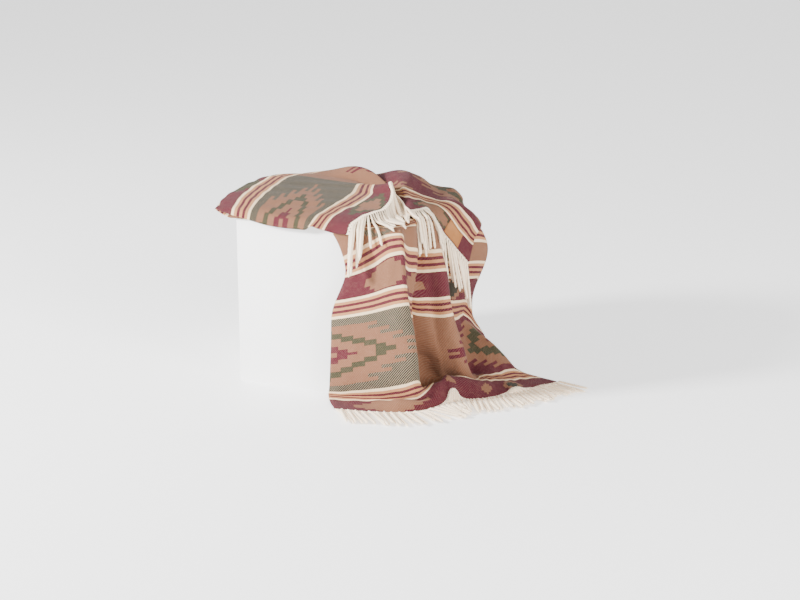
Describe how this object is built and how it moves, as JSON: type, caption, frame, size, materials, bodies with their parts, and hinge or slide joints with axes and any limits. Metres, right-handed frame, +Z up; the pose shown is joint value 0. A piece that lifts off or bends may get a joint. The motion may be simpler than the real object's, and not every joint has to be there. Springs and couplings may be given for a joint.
{
  "type": "fringed blanket draped over a display plinth",
  "caption": "Woven wool blanket with a twisted fringe at both ends, draped and folded back over a plain square plinth.",
  "frame": {"origin": "centre of the plinth's foot, on the floor", "axes": "+Z up; the plinth's front face, along which the front selvedge hangs, looks along -Y; +X to the side that the blanket falls over"},
  "size_m": [0.9513, 0.7332, 0.5732],
  "materials": {
    "woven_wool": "brushed woven wool, striped and stepped bands",
    "fringe_yarn": "twisted wool yarn",
    "patch_leather": "smooth, stitched round its edge",
    "plinth_paint": "matt white paint"
  },
  "bodies": {
    "root": {"plinth": "plinth_paint", "blanket": "woven_wool", "fringe_floor": "fringe_yarn", "fringe_top": "fringe_yarn", "label_patch": "patch_leather"}
  },
  "joints": []
}
